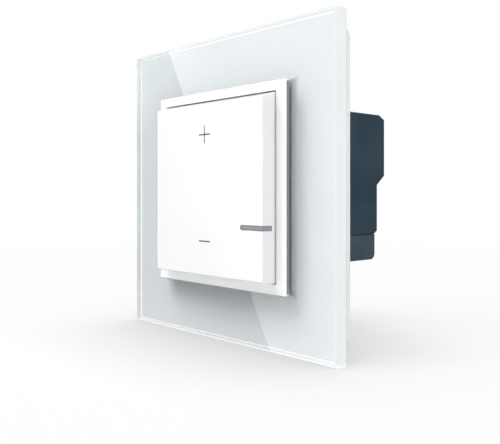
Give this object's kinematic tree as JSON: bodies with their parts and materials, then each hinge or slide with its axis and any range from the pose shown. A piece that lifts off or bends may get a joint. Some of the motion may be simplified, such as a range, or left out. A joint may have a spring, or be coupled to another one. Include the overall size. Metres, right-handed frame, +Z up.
{
  "type": "dimmer switch",
  "caption": "Flush wall dimmer: square glass frame, white surround, two-way rocker with a light line, dark rear housing with screw terminals.",
  "frame": {"origin": "middle of the two wall screws, in the plane of the wall (the back of the wall plate)", "axes": "+X to the right as the wall is faced, +Y into the wall, +Z up"},
  "size_m": [0.08, 0.0483, 0.08],
  "materials": {
    "glass": "polished, pale print over the whole back",
    "white_gloss": "gloss white moulding",
    "light_guide": "smoked translucent moulding",
    "carrier_plastic": "fine moulded matt",
    "mechanism_plastic": "fine moulded matt",
    "zinc_steel": "bright zinc plated sheet",
    "housing_plastic": "dark slate moulding, fine matt",
    "block_plastic": "dark blue-grey moulding, fine matt",
    "clear_plastic": "clear polished moulding",
    "circuit_board": "green solder resist",
    "chip_black": "black epoxy",
    "ferrite": "sintered, matt",
    "copper": "enamelled copper wire",
    "film_capacitor": "potted box",
    "can_aluminium": "drawn can",
    "fuse_ceramic": "glazed tube",
    "varistor_coat": "dipped coat",
    "spreader_aluminium": "mill finish",
    "screw_steel": "bright plated",
    "cage_steel": "tumbled, plated",
    "terminal_brass": "stamped",
    "plunger_plastic": "self-coloured",
    "spring_steel": "drawn wire"
  },
  "bodies": {
    "base": {"board_connector": "chip_black", "choke_core": "ferrite", "choke_winding": "copper", "control_board": "circuit_board", "electrolytic_capacitor": "can_aluminium", "film_capacitor": "film_capacitor", "fuse": "fuse_ceramic", "glass_carrier": "carrier_plastic", "glass_panel": "glass", "heat_spreader": "spreader_aluminium", "housing_screws": "screw_steel", "indicator_led": "clear_plastic", "inner_bezel": "white_gloss", "light_pipe": "clear_plastic", "mechanism_cover": "mechanism_plastic", "microcontroller": "chip_black", "power_board": "circuit_board", "rear_housing": "housing_plastic", "return_spring_lower": "spring_steel", "return_spring_upper": "spring_steel", "support_plate": "zinc_steel", "switch_body_lower": "chip_black", "switch_body_upper": "chip_black", "switch_lid_lower": "zinc_steel", "switch_lid_upper": "zinc_steel", "terminal_bar_1": "terminal_brass", "terminal_bar_2": "terminal_brass", "terminal_bar_3": "terminal_brass", "terminal_block": "block_plastic", "transistor_lower": "chip_black", "transistor_upper": "chip_black", "varistor": "varistor_coat"},
    "rocker": {"rocker": "white_gloss", "light_guide": "light_guide"},
    "plunger_upper": {"plunger_upper": "plunger_plastic"},
    "plunger_lower": {"plunger_lower": "plunger_plastic"},
    "clamp_screw_1": {"terminal_screw_1": "screw_steel"},
    "clamp_cage_1": {"terminal_cage_1": "cage_steel"},
    "clamp_screw_2": {"terminal_screw_2": "screw_steel"},
    "clamp_cage_2": {"terminal_cage_2": "cage_steel"},
    "clamp_screw_3": {"terminal_screw_3": "screw_steel"},
    "clamp_cage_3": {"terminal_cage_3": "cage_steel"}
  },
  "joints": [
    {"name": "rocker_tilt", "type": "hinge", "parent": "base", "child": "rocker", "pos_m": [0, -0.006, 0], "axis": [1, 0, 0], "range_deg": [-2.5, 2.5], "stiffness_Nm_per_rad": 1},
    {"name": "plunger_upper_travel", "type": "slide", "parent": "base", "child": "plunger_upper", "axis": [0, 1, 0], "range_m": [-0.00057, 0.00057], "deforming": ["return_spring_upper"]},
    {"name": "plunger_lower_travel", "type": "slide", "parent": "base", "child": "plunger_lower", "axis": [0, 1, 0], "range_m": [-0.00057, 0.00057], "deforming": ["return_spring_lower"]},
    {"name": "clamp_screw_1_turn", "type": "hinge", "parent": "base", "child": "clamp_screw_1", "pos_m": [-0.012, 0.0285, -0.0154], "axis": [0, -1, 0], "range_deg": [0, 1080]},
    {"name": "clamp_cage_1_draw", "type": "slide", "parent": "base", "child": "clamp_cage_1", "axis": [0, 1, 0], "range_m": [0, 0.0015]},
    {"name": "clamp_screw_2_turn", "type": "hinge", "parent": "base", "child": "clamp_screw_2", "pos_m": [0, 0.0285, -0.0154], "axis": [0, -1, 0], "range_deg": [0, 1080]},
    {"name": "clamp_cage_2_draw", "type": "slide", "parent": "base", "child": "clamp_cage_2", "axis": [0, 1, 0], "range_m": [0, 0.0015]},
    {"name": "clamp_screw_3_turn", "type": "hinge", "parent": "base", "child": "clamp_screw_3", "pos_m": [0.012, 0.0285, -0.0154], "axis": [0, -1, 0], "range_deg": [0, 1080]},
    {"name": "clamp_cage_3_draw", "type": "slide", "parent": "base", "child": "clamp_cage_3", "axis": [0, 1, 0], "range_m": [0, 0.0015]}
  ],
  "couplings": [
    {"joint": "plunger_upper_travel", "follows": "rocker_tilt", "m_per_rad": -0.013},
    {"joint": "plunger_lower_travel", "follows": "rocker_tilt", "m_per_rad": 0.013},
    {"joint": "clamp_screw_1_turn", "follows": "clamp_cage_1_draw", "rad_per_m": 12566},
    {"joint": "clamp_screw_2_turn", "follows": "clamp_cage_2_draw", "rad_per_m": 12566},
    {"joint": "clamp_screw_3_turn", "follows": "clamp_cage_3_draw", "rad_per_m": 12566}
  ]
}
